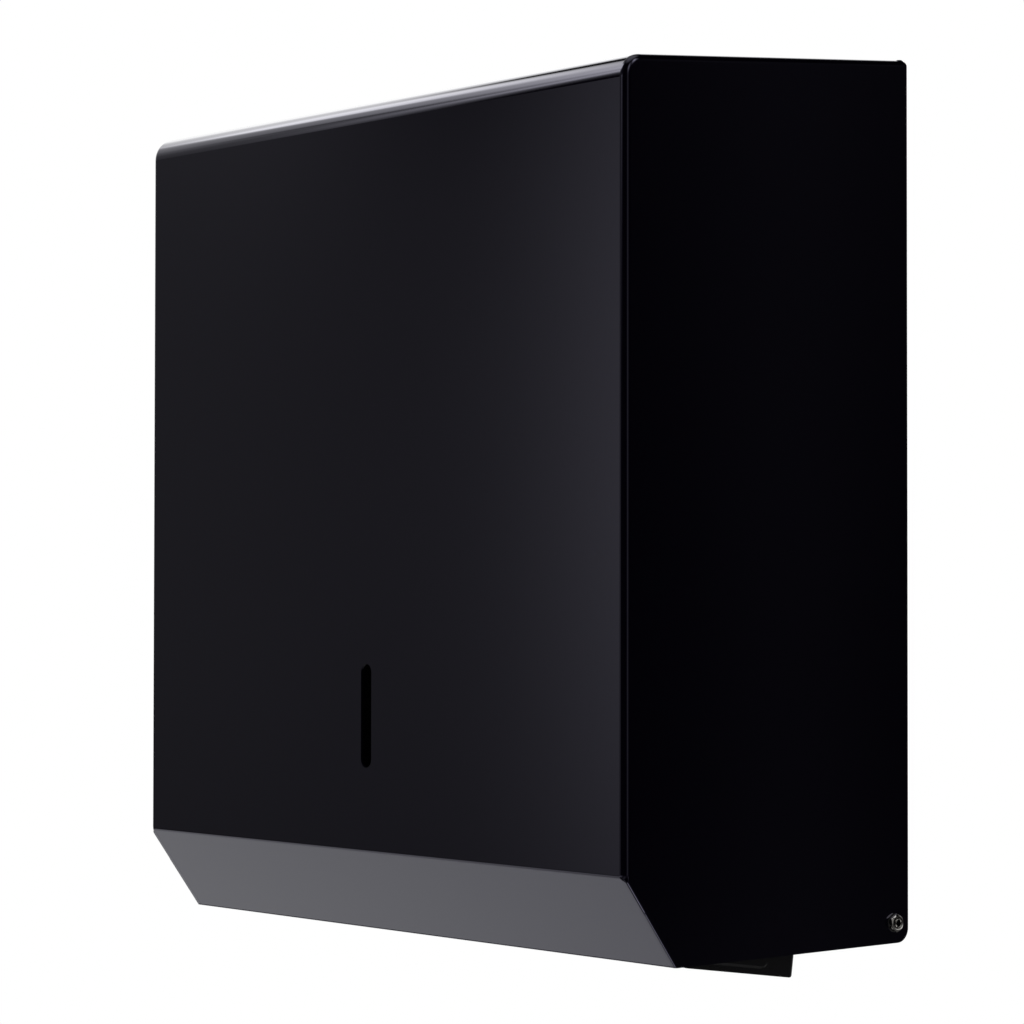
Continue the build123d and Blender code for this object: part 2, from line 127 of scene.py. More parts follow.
def makeCamera(s):
    data = bpy.data.cameras.new("camera")
    data.sensor_width = s["sensor"]
    data.lens = s["lens"]
    data.clip_start, data.clip_end = s["clip"]
    camera = bpy.data.objects.new("camera", data)
    bpy.context.scene.collection.objects.link(camera)
    azimuth, pitch = radians(s["azimuth"]), radians(s["pitch"])
    look = Vector((-sin(azimuth) * cos(pitch), cos(azimuth) * cos(pitch), sin(pitch)))
    camera.location = s["place"]
    camera.rotation_mode = "QUATERNION"
    camera.rotation_quaternion = look.to_track_quat("-Z", "Y") @ Quaternion((0, 0, 1), radians(s["roll"]))
    bpy.context.scene.camera = camera


makeCamera(cameraSettings)
bpy.context.scene.view_settings.view_transform = "Standard"
print("camera set")


plainWhite = (1.0, 1.0, 1.0, 1.0)

worldSettings = {
    "ambient": "f1f3f7",
    "ambientStrength": 0.70,
}


# 1 for the rays that see a surface directly, in gloss or through glass
def seenDirectly(tree):
    path = addNode(tree, "ShaderNodeLightPath")
    seen = addNode(tree, "ShaderNodeMath", {0: (path, "Is Camera Ray"), 1: (path, "Is Glossy Ray")},
                   operation="MAXIMUM")
    return addNode(tree, "ShaderNodeMath", {0: (seen, "Value"), 1: (path, "Is Transmission Ray")},
                   operation="MAXIMUM")


# lights with a soft ambient; seen directly or in gloss it is plain white
def makeWorld(s):
    world = bpy.data.worlds.new("studio")
    bpy.context.scene.world = world
    world.use_nodes = True
    tree = world.node_tree
    tree.nodes.clear()
    ambient = addNode(tree, "ShaderNodeBackground",
                      {"Color": linear(s["ambient"]), "Strength": s["ambientStrength"]})
    white = addNode(tree, "ShaderNodeBackground", {"Color": plainWhite, "Strength": 1.0})
    mix = addNode(tree, "ShaderNodeMixShader",
                  {0: (seenDirectly(tree), "Value"), 1: (ambient, "Background"), 2: (white, "Background")})
    addNode(tree, "ShaderNodeOutputWorld", {"Surface": (mix, "Shader")})


lampSettings = {
    "topBox": {"place": (-0.90, -1.00, 1.50), "size": (1.30, 1.30), "radiance": 2.4},
    "frontFill": {"place": (1.10, -1.70, 1.20), "size": (0.90, 0.90), "radiance": 2.4},
    "rearFill": {"place": (-1.40, 1.30, 1.00), "size": (0.80, 0.80), "radiance": 1.8},
}


# area lamp turned to the object; its power is pi * area * radiance
def makeLamp(name, s):
    data = bpy.data.lights.new(name, "AREA")
    data.shape = "RECTANGLE"
    data.size, data.size_y = s["size"]
    data.energy = pi * s["size"][0] * s["size"][1] * s["radiance"]
    lamp = bpy.data.objects.new(name, data)
    bpy.context.scene.collection.objects.link(lamp)
    # the glowing pools on the dome are painted reflections standing in for the lamps
    lamp.visible_glossy = False      # in gloss the pools on the cloth stand for the lamps
    lamp.location = s["place"]
    lamp.rotation_mode = "QUATERNION"
    lamp.rotation_quaternion = (-Vector(s["place"])).to_track_quat("-Z", "Y")


floorSettings = {
    "level": -1.0,         # the cabinet hangs about a metre above it
    "radius": 3.0,
    "fadeFrom": 1.6,       # from here outwards it turns into the white backdrop
    "colour": "f2f2f0",
    "lift": 0.34,          # glow for camera and gloss, so that the lit floor is white
    "hub": 0.001,          # m, innermost ring
    "rings": 24, "columns": 96,
}


# points on a level plane: (distance * cos(angle), distance * sin(angle), level)
def levelPoints(distance, angle, level):
    x, y = distance * np.cos(angle), distance * np.sin(angle)
    return np.stack([x, y, np.full_like(angle, level)], axis=-1)


# flat disc: radius grows evenly along one parameter, the other is the angle
def makeFloor(s):
    material, tree = newMaterial("paleStudioFloor")
    coords = addNode(tree, "ShaderNodeTexCoord")
    flat = addNode(tree, "ShaderNodeVectorMath", {0: (coords, "Object"), 1: (1.0, 1.0, 0.0)},
                   operation="MULTIPLY")      # level distance alone
    far = addNode(tree, "ShaderNodeVectorMath", {0: (flat, "Vector")}, operation="LENGTH")
    fade = addNode(tree, "ShaderNodeMapRange", {"Value": (far, "Value"), "From Min": s["fadeFrom"],
                                                "From Max": s["radius"]})
    seen = seenDirectly(tree)
    lift = addNode(tree, "ShaderNodeMath", {0: (seen, "Value"), 1: s["lift"]}, operation="MULTIPLY")
    paint = addNode(tree, "ShaderNodeBsdfDiffuse", {"Color": linear(s["colour"])})
    glow = addNode(tree, "ShaderNodeEmission", {"Color": plainWhite, "Strength": (lift, "Value")})
    lit = addNode(tree, "ShaderNodeAddShader", {0: (paint, "BSDF"), 1: (glow, "Emission")})
    white = addNode(tree, "ShaderNodeEmission", {"Color": plainWhite, "Strength": 1.0})
    edge = addNode(tree, "ShaderNodeMath", {0: (fade, "Result"), 1: (seen, "Value")},
                   operation="MULTIPLY")
    mix = addNode(tree, "ShaderNodeMixShader",
                  {0: (edge, "Value"), 1: (lit, "Shader"), 2: (white, "Emission")})
    finishMaterial(tree, mix)
    radius, angle = np.meshgrid(np.linspace(s["hub"], s["radius"], s["rings"]),
                                np.arange(s["columns"]) * 2 * pi / s["columns"], indexing="ij")
    points = levelPoints(radius, angle, s["level"])
    meshObject("floor", points, gridQuads(s["rings"], s["columns"], closed=True), material)


# a dome hung all round whose glow paints the reflections: painted pools of light for the lamps, dark
# elsewhere; gloss shows it, nothing else does
paintedDomeSettings = {
    "distance": 12.0,
    "lowest": -22.0,       # degrees above the horizon
    "highest": 78.0,
    "whiteFrom": 58.0,     # above this it turns into the white ceiling
    "brightest": 5.5,
    "rows": 130, "columns": 360,
    # each pool is a painted highlight or painted dark reflection, not light thrown by a lamp
    "paintedPools": (             # heading and spread, rise and spread, in degrees, then brightness
        (-135.8, 3.0, 2.8, 11.3, 0.62),
        (-123.0, 9.0, 2.0, 12.0, 0.32),
        (-143.0, 12.6, -2.5, 11.2, 0.13),
        (-140.5, 3.0, 15.5, 5.0, -0.40),
        (-150.5, 3.0, 25.5, 1.8, -0.60),
        (-144.6, 2.0, 28.7, 9.8, 3.54),
        (-144.2, 10.0, 40.7, 8.6, 12.0),
        (-173.3, 4.9, 36.8, 2.0, 4.98),
        (-176.5, 19.0, 39.5, 4.0, 4.49),
        (-194.9, 11.8, 41.1, 3.2, -6.0),
        (-215.4, 57.0, 30.0, 18.2, 2.43),
        (-214.0, 22.0, -2.0, 8.0, -0.17),
        (-185.0, 50.0, 48.0, 22.0, 0.25),
        (-100.0, 6.0, 14.0, 5.0, 3.0),
        (-13.0, 10.0, 2.0, 20.0, 0.40),
        (-14.0, 9.0, 36.0, 12.0, 2.5),
        (19.0, 11.0, 47.0, 9.0, 4.5),
        (92.0, 34.0, 46.0, 24.0, -0.9),
        (43.5, 1.8, 2.0, 25.0, 0.03),
        (92.0, 35.0, -16.0, 6.0, 1.0),
        (-128.0, 14.0, -17.0, 4.0, 0.8),
    ),
}


# painted glow = sum over the painted pools of brightness * exp(-(turn / spread)^2 - (rise / spread)^2),
# with turn and rise counted from the pool's middle, and white at the top
def paintedPoolGlow(heading, rise, s):
    glow = np.zeros_like(rise)
    for middle, spread, height, heightSpread, brightness in s["paintedPools"]:
        turn = (heading - middle + 180.0) % 360.0 - 180.0
        glow = glow + brightness * np.exp(-(turn / spread) ** 2 - ((rise - height) / heightSpread) ** 2)
    glow = np.clip(glow, 0.0, s["brightest"])
    ceiling = ease(s["whiteFrom"], s["highest"], rise)
    return glow * (1.0 - ceiling) + ceiling


# band of a sphere: heading along one parameter, rise above the horizon along the other
def hangPaintedDome(s):
    rise, heading = np.meshgrid(np.linspace(s["lowest"], s["highest"], s["rows"]),
                                np.arange(s["columns"]) * 360.0 / s["columns"], indexing="ij")
    up, turn = np.radians(rise), np.radians(heading)
    ways = np.stack([np.cos(up) * np.cos(turn), np.cos(up) * np.sin(turn), np.sin(up)], axis=-1)
    return s["distance"] * ways, paintedPoolGlow(heading, rise, s)


paintedSkirtSettings = {
    "level": -0.98,
    "near": 0.10, "far": 3.0,
    "from": -150.0, "to": 175.0,   # degrees of heading
    "edge": 18.0,                  # degrees over which it fades into the white floor
    "glow": 0.10,
    # the streak is a painted highlight: glow painted across the skirt, no lamp lights it
    "paintedStreak": (-40.0, 22.0, 3.8),  # heading, spread and brightness of a lit streak across it
    "paintedStreakTo": (0.85, 1.25),      # m from the middle, over which the streak dies away
    "openFrom": (1.6, 2.2),        # m from the middle, over which it opens to the floor, but for
    "shut": (-90.0, 35.0),         # these headings
    "shutEdge": 10.0,
    "rows": 12, "columns": 120,
}


# the dome's skirt on the floor, a painted dark reflection of the floor: distance along one parameter,
# heading along the other; the painted highlight streak is brightness * exp(-(turn / spread)^2), near the
# middle alone
def layPaintedSkirt(s):
    distance, heading = np.meshgrid(np.linspace(s["near"], s["far"], s["rows"]),
                                    np.linspace(s["from"], s["to"], s["columns"]), indexing="ij")
    points = levelPoints(distance, np.radians(heading), s["level"])
    inside = ease(0.0, s["edge"], np.minimum(heading - s["from"], s["to"] - heading))
    shut = ease(-s["shutEdge"], s["shutEdge"], np.minimum(heading - s["shut"][0], s["shut"][1] - heading))
    inside = inside * np.maximum(1.0 - ease(*s["openFrom"], distance), shut)
    middle, spread, brightness = s["paintedStreak"]
    paintedStreak = brightness * np.exp(-((heading - middle) / spread) ** 2)
    paintedStreak = paintedStreak * (1.0 - ease(*s["paintedStreakTo"], distance))
    return points, 1.0 - (1.0 - s["glow"]) * inside + paintedStreak


# painted reflections on a sheet that gloss alone shows, with the painted glow in an attribute
def makePaintedGlossSheet(name, material, points, glow, closed):
    rows, columns = glow.shape
    paintedGloss = meshObject(name, points, gridQuads(rows, columns, closed), material)
    lit = paintedGloss.data.attributes.new("glow", "FLOAT", "POINT")
    lit.data.foreach_set("value", glow.ravel().astype(np.float32))
    paintedGloss.visible_camera = False
    paintedGloss.visible_diffuse = False
    paintedGloss.visible_shadow = False
    paintedGloss.visible_transmission = False


# Painted reflections and painted shade in gloss: a glow whose brightness at each spot is painted in the
# attribute, standing in for lamps and dark flags
def paintedGlossMaterial():
    material, tree = newMaterial("paintedGlossReflections")
    lit = addNode(tree, "ShaderNodeAttribute", attribute_name="glow")
    shader = addNode(tree, "ShaderNodeEmission", {"Color": plainWhite, "Strength": (lit, "Fac")})
    finishMaterial(tree, shader)
    return material


makeWorld(worldSettings)
for name, settings in lampSettings.items():
    makeLamp(name, settings)
makeFloor(floorSettings)
paintedGloss = paintedGlossMaterial()
makePaintedGlossSheet("paintedReflectionDome", paintedGloss, *hangPaintedDome(paintedDomeSettings), closed=True)
makePaintedGlossSheet("paintedDarkSkirt", paintedGloss, *layPaintedSkirt(paintedSkirtSettings), closed=False)
print("studio set")


enamelSettings = {
    "colour": "030206",
    "gloss": "dfdbff",     # the coat's reflections are a little blue
    "roughness": 0.06, "wander": (0.8, 1.3),      # and what the swell multiplies it by
    "peel": 2.6,           # mm between the dimples of the sprayed coat
    "peelHeight": 0.0012,  # mm
    "wave": 70.0,          # mm, slow swell of the sheet
    "waveHeight": 0.010,   # mm
}


# Gloss black powder enamel, sprayed and baked on steel: deep black, clear reflections, a faint
# orange peel from the gun and the slow swell of thin sheet
def glossEnamel(s):
    material, tree = newMaterial("glossBlackEnamel")
    coords = addNode(tree, "ShaderNodeTexCoord")
    peel = addNode(tree, "ShaderNodeTexNoise", {"Vector": (coords, "Object"), "Scale": perMm(s["peel"]),
                                                "Detail": 2.0, "Roughness": 0.4})
    wave = addNode(tree, "ShaderNodeTexNoise", {"Vector": (coords, "Object"), "Scale": perMm(s["wave"]),
                                                "Detail": 1.0})
    swell = addNode(tree, "ShaderNodeBump", {"Height": (wave, "Fac"), "Distance": s["waveHeight"] / 1000})
    skin = addNode(tree, "ShaderNodeBump", {"Height": (peel, "Fac"), "Distance": s["peelHeight"] / 1000,
                                            "Normal": (swell, "Normal")})
    haze = addNode(tree, "ShaderNodeMapRange", {"Value": (wave, "Fac"),
                                                "To Min": s["roughness"] * s["wander"][0],
                                                "To Max": s["roughness"] * s["wander"][1]})
    shader = addNode(tree, "ShaderNodeBsdfPrincipled", {
        "Base Color": linear(s["colour"]), "Roughness": (haze, "Result"), "IOR": 1.5,
        "Specular Tint": linear(s["gloss"]), "Normal": (skin, "Normal")})
    finishMaterial(tree, shader)
    return material


powderSettings = {
    "colour": "08070a",
    "roughness": 0.20, "wander": (0.85, 1.2),     # and what the clouds multiply it by
    "grain": 0.9,          # mm; coarser than the real pebble, so that it shows
    "grainHeight": 0.003,  # mm
    "cloud": 45.0,         # mm, slow change of sheen
}


# Semi-gloss black powder coat on the folded base: fine even pebble, soft reflections
def powderCoat(s):
    material, tree = newMaterial("blackPowderCoat")
    coords = addNode(tree, "ShaderNodeTexCoord")
    grain = addNode(tree, "ShaderNodeTexNoise", {"Vector": (coords, "Object"), "Scale": perMm(s["grain"]),
                                                 "Detail": 3.0})
    cloud = addNode(tree, "ShaderNodeTexNoise", {"Vector": (coords, "Object"), "Scale": perMm(s["cloud"])})
    skin = addNode(tree, "ShaderNodeBump", {"Height": (grain, "Fac"), "Distance": s["grainHeight"] / 1000})
    haze = addNode(tree, "ShaderNodeMapRange", {"Value": (cloud, "Fac"),
                                                "To Min": s["roughness"] * s["wander"][0],
                                                "To Max": s["roughness"] * s["wander"][1]})
    shader = addNode(tree, "ShaderNodeBsdfPrincipled", {
        "Base Color": linear(s["colour"]), "Roughness": (haze, "Result"), "IOR": 1.5,
        "Normal": (skin, "Normal")})
    finishMaterial(tree, shader)
    return material


# spread is how much the roughness wanders, grain in mm is the size of the marks, marks their
# depth in mm, bloom the hazier tone that plating or wear leaves in patches of that many mm
metalSettings = {
    "polishedChrome": {"colour": "d6d9dd", "bloomColour": "c9cdd3", "roughness": 0.07, "spread": 0.04,
                       "grain": 3.0, "marks": 0.0004, "bloom": 9.0},
    "brightZincPlate": {"colour": "c6cace", "bloomColour": "b7bcc6", "roughness": 0.28, "spread": 0.12,
                        "grain": 0.8, "marks": 0.002, "bloom": 5.0},
    "turnedSteel": {"colour": "b4b3b1", "bloomColour": "a39f98", "roughness": 0.15, "spread": 0.06,
                    "grain": 0.35, "marks": 0.002, "bloom": 2.5},
    "rivetSteel": {"colour": "9d9c9a", "bloomColour": "86847f", "roughness": 0.34, "spread": 0.12,
                   "grain": 0.6, "marks": 0.003, "bloom": 2.0},
    # near-black metal put into the screw tip's socket as painted shade of the hollow
    "paintedSocketShade": {"colour": "1d1c1c", "bloomColour": "141313", "roughness": 0.45, "spread": 0.10,
                   "grain": 0.3, "marks": 0.002, "bloom": 1.0},
}


noiseRange = (0.3, 0.7)       # within which the bloom's noise mostly stays


# Plated or turned metal: fine marks in the surface, and patches of bloom that are a little
# darker and rougher than the rest
def metal(name, s):
    material, tree = newMaterial(name)
    coords = addNode(tree, "ShaderNodeTexCoord")
    grain = addNode(tree, "ShaderNodeTexNoise", {"Vector": (coords, "Object"), "Scale": perMm(s["grain"]),
                                                 "Detail": 3.0})
    bloom = addNode(tree, "ShaderNodeTexNoise", {"Vector": (coords, "Object"), "Scale": perMm(s["bloom"]),
                                                 "Detail": 2.0})
    tone = addNode(tree, "ShaderNodeMix", {"Factor": (bloom, "Fac"), 6: linear(s["colour"]),
                                           7: linear(s["bloomColour"])}, data_type="RGBA")
    haze = addNode(tree, "ShaderNodeMapRange", {"Value": (bloom, "Fac"),
                                                "From Min": noiseRange[0], "From Max": noiseRange[1],
                                                "To Min": s["roughness"] - s["spread"] / 2,
                                                "To Max": s["roughness"] + s["spread"] / 2})
    skin = addNode(tree, "ShaderNodeBump", {"Height": (grain, "Fac"), "Distance": s["marks"] / 1000})
    shader = addNode(tree, "ShaderNodeBsdfPrincipled", {
        "Base Color": (tone, 2), "Metallic": 1.0, "Roughness": (haze, "Result"),
        "Normal": (skin, "Normal")})
    finishMaterial(tree, shader)
    return material


nylonSettings = {
    "colour": "141415",
    "flowColour": "1c1b1b",
    "flow": 3.0,           # mm, faint clouds of the melt
    "roughness": 0.42,
    "texture": 0.5,        # mm
    "textureHeight": 0.003,       # mm
}


# Moulded nylon filled with carbon black: near black, waxy sheen, faint clouds from the melt
def mouldedNylon(s):
    material, tree = newMaterial("mouldedNylon")
    coords = addNode(tree, "ShaderNodeTexCoord")
    flow = addNode(tree, "ShaderNodeTexNoise", {"Vector": (coords, "Object"), "Scale": perMm(s["flow"])})
    fine = addNode(tree, "ShaderNodeTexNoise", {"Vector": (coords, "Object"), "Scale": perMm(s["texture"])})
    tone = addNode(tree, "ShaderNodeMix", {"Factor": (flow, "Fac"), 6: linear(s["colour"]),
                                           7: linear(s["flowColour"])}, data_type="RGBA")
    skin = addNode(tree, "ShaderNodeBump", {"Height": (fine, "Fac"), "Distance": s["textureHeight"] / 1000})
    shader = addNode(tree, "ShaderNodeBsdfPrincipled", {
        "Base Color": (tone, 2), "Roughness": s["roughness"], "IOR": 1.53, "Normal": (skin, "Normal")})
    finishMaterial(tree, shader)
    return material


finishes = {name: metal(name, settings) for name, settings in metalSettings.items()}
enamel = glossEnamel(enamelSettings)
coat = powderCoat(powderSettings)
dress(enamel, "cover_shell")
dress(coat, "back_plate", "towel_tray", "left_cheek", "right_cheek")
dress(finishes["polishedChrome"], "lock_plug")
dress(finishes["brightZincPlate"], "lock_washer", "lock_cam", "cam_screw", "strike_bracket")
dress(mouldedNylon(nylonSettings), "left_pivot_bush", "right_pivot_bush")
print("finishes set")


# an axis to turn pieces about: along it, then two directions square to it; mm
def axisFrame(origin, along, side):
    along, side = np.array(along, float), np.array(side, float)
    return {"origin": np.array(origin, float), "along": along, "side": side, "up": np.cross(along, side)}


# where an axis frame, the distances along it, the radii and the angles put the points:
# origin + distance * along + radius * (cos(angle) * side + sin(angle) * up)
def turnedPoints(axis, distance, radius, angle):
    across = radius * np.cos(angle)
    upright = radius * np.sin(angle)
    points = (axis["origin"] + distance[..., None] * axis["along"]
              + across[..., None] * axis["side"] + upright[..., None] * axis["up"])
    return points / 1000.0


# radius of a hexagon at an angle: half its width over flats / cos(angle to the nearest flat)
def hexRadius(acrossFlats, angle):
    return acrossFlats / 2 / np.cos((angle % (pi / 3)) - pi / 6)


# depth of a screw thread below its crest: a triangle wave of the turns passed, whose phase is
# distance / pitch - angle / whole turn
def threadDepth(distance, angle, pitch, depth):
    phase = (distance / pitch - angle / (2 * pi)) % 1.0
    return depth * np.abs(2.0 * phase - 1.0)


# closes a stack of rings at both ends with its own middle points
def turnedPiece(name, points, material, body, crease=32.0, capped=True):
    rows, columns = points.shape[:2]
    if capped:
        first = np.repeat(points[:1].mean(axis=1, keepdims=True), columns, axis=1)
        last = np.repeat(points[-1:].mean(axis=1, keepdims=True), columns, axis=1)
        points = np.concatenate([first, points, last])
        rows += 2
    else:
        points = np.concatenate([points, points[:1]])
        rows += 1
    piece = meshObject(name, points, gridQuads(rows, columns, closed=True), material)
    return finishPiece(piece, body, crease)


# doubles merged, faces turned outwards, edges over the crease angle kept sharp
def finishPiece(piece, body, crease):
    shape = bmesh.new()
    shape.from_mesh(piece.data)
    bmesh.ops.remove_doubles(shape, verts=shape.verts, dist=1e-7)
    bmesh.ops.dissolve_degenerate(shape, edges=shape.edges, dist=1e-8)
    bmesh.ops.recalc_face_normals(shape, faces=shape.faces)
    shape.to_mesh(piece.data)
    shape.free()
    piece.data.polygons.foreach_set("use_smooth", np.full(len(piece.data.polygons), True))
    piece.data.set_sharp_from_angle(angle=radians(crease))
    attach(piece, body)
    return piece


pivotSettings = {
    "y": -8.2, "z": -137.2,       # mm, axis of both pivots
    "headFrom": 132.0, "headTo": 134.2, "headRadius": 4.0, "headRound": 0.5, "headEdge": 0.12,
    "socketAcross": 3.0, "socketDepth": 1.1, "socketMouth": 0.15, "socketFlare": 0.32,
    "shoulderTo": 137.6, "shoulderRadius": 2.5, "shoulderEdge": 0.1,
    "threadTo": 138.7, "threadRadius": 1.5, "pitch": 0.5, "threadDepth": 0.24,
    "rowsPerPitch": 8,
    "threadStart": 0.05, "runOut": (0.05, 0.12),     # mm past the shoulder, and past the thread
    "tip": 139.6, "tipRadius": 1.5, "tipRound": 0.18, "tipMouth": 1.14,
    "tipAcross": 1.9, "tipDepth": 1.2, "tipLedge": (0.12, 0.14), "tipPoint": 0.2,
    "hub": 0.05,                  # mm, innermost ring
    "headRows": 6, "rimRows": 13,
    "nutAcross": 5.5, "nutHeight": 1.65, "nutBevelRadius": 2.3, "nutBore": 1.55, "nutSink": 0.25,
    "columns": 144,
}


# the screw's head and shoulder: rings (distance, radius), with minus the width of a hexagon where
# the ring follows one
def headRings(s):
    start, end, radius, bend, edge = (s[name] for name in ("headFrom", "headTo", "headRadius", "headRound",
                                                           "headEdge"))
    socket, shoulder, broken = s["socketAcross"], s["shoulderRadius"], s["shoulderEdge"]
    rings = [(start + s["socketDepth"], s["hub"]), (start + s["socketDepth"], -socket),
             (start + s["socketMouth"], -socket), (start, socket / 2 + s["socketFlare"])]
    rings += [(start + bend * (1 - cos(a)), radius - bend * (1 - sin(a)))
              for a in np.linspace(0.0, pi / 2, s["headRows"])]
    return rings + [(end - edge, radius), (end, radius - edge), (end, shoulder),
                    (s["shoulderTo"] - broken, shoulder), (s["shoulderTo"], shoulder - broken),
                    (s["shoulderTo"], s["threadRadius"] - s["threadDepth"])]


# the screw's tip: out of the thread, over the round rim and down its hexagon socket
def tipRings(s):
    rim, mouth, tip = s["tipRound"], s["tipMouth"], s["tip"]
    rings = [(s["threadTo"] + s["runOut"][0], s["threadRadius"] - s["threadDepth"]),
             (s["threadTo"] + s["runOut"][1], s["tipRadius"])]
    rings += [(tip - rim * (1 - cos(a)), mouth + rim * (1 + sin(a)))
              for a in np.linspace(pi / 2, -pi / 2, s["rimRows"])]
    return rings + [(tip - rim - s["tipLedge"][0], mouth), (tip - rim - s["tipLedge"][1], -s["tipAcross"]),
                    (tip - s["tipDepth"], -s["tipAcross"]), (tip - s["tipDepth"] - s["tipPoint"], s["hub"])]


# Shoulder screw: head rings, thread rows and tip rings one after another. The radius is the ring's
# own, the hexagon's where it is negative, and the crest less the thread's depth where it is None
def pivotScrew(side, s):
    axis = axisFrame((0.0, s["y"], s["z"]), (side, 0, 0), (0, 1, 0))
    angle = np.arange(s["columns"]) * 2 * pi / s["columns"]
    threadRows = np.arange(s["shoulderTo"] + s["threadStart"], s["threadTo"],
                           s["pitch"] / s["rowsPerPitch"])
    rings = headRings(s) + [(row, None) for row in threadRows] + tipRings(s)
    distance = np.array([ring[0] for ring in rings])[:, None] + 0.0 * angle
    given = np.array([np.nan if ring[1] is None else ring[1] for ring in rings])[:, None] + 0.0 * angle
    threaded = s["threadRadius"] - threadDepth(distance, angle, s["pitch"], s["threadDepth"])
    hexed = hexRadius(np.abs(given), angle)
    radius = np.where(np.isnan(given), threaded, np.where(given < 0, hexed, given))
    return turnedPoints(axis, distance, radius, angle)


nutBevel = radians(30.0)      # to the nut's face
nutRows = 12                  # of each bevel
nutBevelOver = 1.3            # the rows go this much further than the bevel's reach


# Hexagon nut: each ring's radius is the smaller of the hexagon's and of the cone that bevels its
# corners; inside, the sunk mouth of the bore
def hexNut(axis, s, start):
    height, across, face, bore, sink = (s[name] for name in ("nutHeight", "nutAcross", "nutBevelRadius",
                                                             "nutBore", "nutSink"))
    angle = np.arange(s["columns"]) * 2 * pi / s["columns"]
    reach = (across / np.sqrt(3.0) - face) * np.tan(nutBevel)
    near = np.linspace(0.0, nutBevelOver * reach, nutRows)
    levels = np.concatenate([near, height - near[::-1]])
    cone = face + np.minimum(levels, height - levels) / np.tan(nutBevel)
    outer = np.minimum(hexRadius(across, angle[None, :]), cone[:, None])
    inner = np.array([(height, bore + sink), (height - sink, bore), (sink, bore), (0.0, bore + sink)])
    distance = np.concatenate([levels, inner[:, 0]])[:, None] + 0.0 * angle
    radius = np.concatenate([outer, inner[:, 1][:, None] + 0.0 * angle])
    return turnedPoints(axis, start + distance, radius, angle)


edgeRoom = 0.02               # mm, room for rounding when faces are told apart by their middles


# the socket in the tip gets a near-black finish, painted shade standing in for the shade in the hollow:
# faces between the socket's bottom and the rim, within its mouth
def paintSocketShade(screw, side, s):
    mesh = screw.data
    mesh.materials.append(finishes["paintedSocketShade"])
    middles = np.empty(3 * len(mesh.polygons))
    mesh.polygons.foreach_get("center", middles)
    x, y, z = 1000.0 * middles.reshape(-1, 3).T
    bottom = s["tip"] - s["tipDepth"] - s["tipPoint"]
    rim = s["tip"] - s["tipRound"] - s["tipLedge"][0] / 2
    inShadedSocket = (side * x > bottom - edgeRoom) & (side * x < rim + edgeRoom / 2)
    inShadedSocket &= np.hypot(y - s["y"], z - s["z"]) < s["tipMouth"] + edgeRoom / 2
    mesh.polygons.foreach_set("material_index", inShadedSocket.astype(np.int32))


for side, name in ((-1, "left"), (1, "right")):
    s = pivotSettings
    steel = finishes["turnedSteel"]
    screw = turnedPiece(name + "PivotScrew", pivotScrew(side, s), steel, "base")
    paintSocketShade(screw, side, s)
    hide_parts(name + "_pivot_screw")
    axis = axisFrame((0.0, s["y"], s["z"]), (side, 0, 0), (0, 0, 1))
    points = hexNut(axis, s, s["shoulderTo"])
    nut = turnedPiece(name + "PivotNut", points, steel, "base", capped=False)
    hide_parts(name + "_pivot_nut")
print("pivot screws and nuts made")


lockSettings = {
    "origin": (0.0, -40.0, 156.463),     # mm, where the axis leaves the cover's top
    "up": (0.0, -0.083793, 0.996483),
    "rosetteRadius": 11.0, "rosetteHeight": 2.2, "rosetteRound": 0.9, "rosetteEdge": 0.15,
    "faceDish": 0.25, "dishRadius": 8.6, "dishWall": 0.35,
    "barrelRadius": 8.0, "flats": 14.0, "barrelLength": 17.02, "bore": 5.55,
    "boreMouth": (0.3, 0.2),             # mm wide and deep
    "boreEdge": 0.2,
    "pitch": 1.0, "threadDepth": 0.45, "threadFrom": 2.2, "threadEnds": (0.4, 0.2), "rowsPerPitch": 8,
    "nutStart": 1.8, "nutHeight": 3.0, "nutAcross": 22.0, "nutBevelRadius": 10.5,
    "nutBore": 8.05, "nutSink": 0.4,
    "roundRows": 9, "columns": 180,
}


# Lock body: rings from the rosette's rim over its rounded shoulder and dished face, down the bore,
# and up the threaded barrel; the barrel's points are held between its two flats
def lockBody(s):
    axis = axisFrame(s["origin"], s["up"], (1, 0, 0))
    angle = np.arange(s["columns"]) * 2 * pi / s["columns"]
    top, roundOff, rim, edge = (s[name] for name in ("rosetteHeight", "rosetteRound", "rosetteRadius",
                                                     "rosetteEdge"))
    dish, end, bore, broken = top - s["faceDish"], -s["barrelLength"], s["bore"], s["boreEdge"]
    rings = [(0.0, rim - edge), (edge, rim)]
    rings += [(top - roundOff * (1 - sin(a)), rim - roundOff * (1 - cos(a)))
              for a in np.linspace(0.0, pi / 2, s["roundRows"])]
    rings += [(top, s["dishRadius"]), (dish, s["dishRadius"] - s["dishWall"]),
              (dish, bore + s["boreMouth"][0]), (dish - s["boreMouth"][1], bore),
              (end + broken, bore), (end, bore + broken)]
    threadRows = np.arange(end + s["threadEnds"][0], -s["threadFrom"], s["pitch"] / s["rowsPerPitch"])
    distance = np.concatenate([[ring[0] for ring in rings], [end], threadRows,
                               [-s["threadFrom"] + s["threadEnds"][1], 0.0]])[:, None] + 0.0 * angle
    plain = np.concatenate([[ring[1] for ring in rings], [s["barrelRadius"] - s["threadDepth"]],
                            np.full(len(threadRows), np.nan), [s["barrelRadius"], s["barrelRadius"]]])
    threaded = s["barrelRadius"] - threadDepth(distance, angle, s["pitch"], s["threadDepth"])
    radius = np.where(np.isnan(plain)[:, None], threaded, plain[:, None])
    held = np.minimum(radius, s["flats"] / 2 / np.maximum(np.abs(np.sin(angle)), 1e-6))
    onBarrel = np.arange(len(plain)) >= len(rings)
    radius = np.where(onBarrel[:, None], held, radius)
    return turnedPoints(axis, distance, radius, angle)


